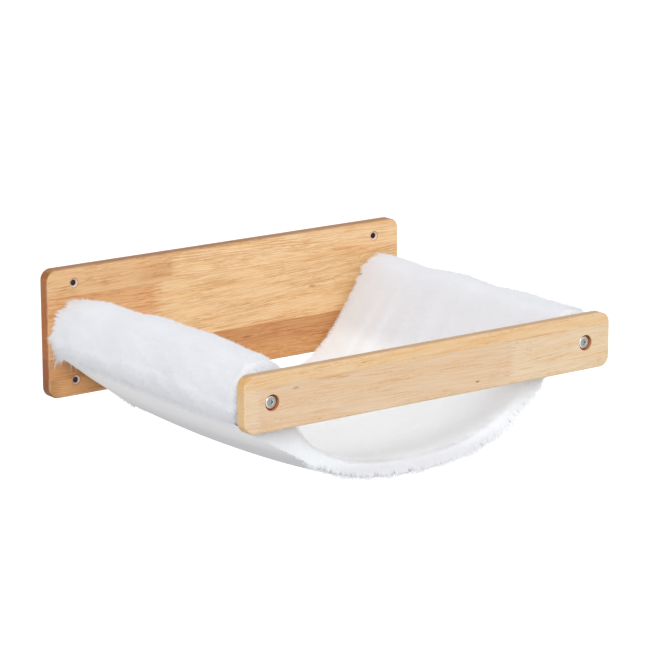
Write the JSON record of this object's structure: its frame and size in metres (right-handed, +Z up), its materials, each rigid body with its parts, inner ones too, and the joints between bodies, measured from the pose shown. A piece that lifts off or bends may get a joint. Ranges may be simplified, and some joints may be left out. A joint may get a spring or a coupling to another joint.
{
  "type": "wall-mounted cat hammock",
  "caption": "Wall-mounted cat hammock: a plush-lined cloth sling on two wooden rods between a wall board and a lower front board.",
  "frame": {"origin": "centre of the back board's rear face, level with the rods' axes", "axes": "+Z up, +X along the boards to the right as seen from the room, +Y into the wall"},
  "size_m": [0.4067, 0.324, 0.1645],
  "materials": {
    "back_wood": "clear satin lacquer on finger-jointed wood",
    "front_wood": "clear satin lacquer on finger-jointed wood",
    "rod_wood": "plain sanded wood",
    "bolt_metal": "zinc plated",
    "insert_metal": "zinc plated",
    "white_plush": "long soft pile",
    "grey_lining": "smooth knit"
  },
  "bodies": {
    "root": {"back_board": "back_wood", "front_board": "front_wood", "left_rod": "rod_wood", "right_rod": "rod_wood", "left_rear_insert": "insert_metal", "left_front_insert": "insert_metal", "right_rear_insert": "insert_metal", "right_front_insert": "insert_metal", "left_rear_bolt": "bolt_metal", "left_front_bolt": "bolt_metal", "right_rear_bolt": "bolt_metal", "right_front_bolt": "bolt_metal", "plush_panel": "white_plush", "lining_panel": "grey_lining"}
  },
  "joints": []
}
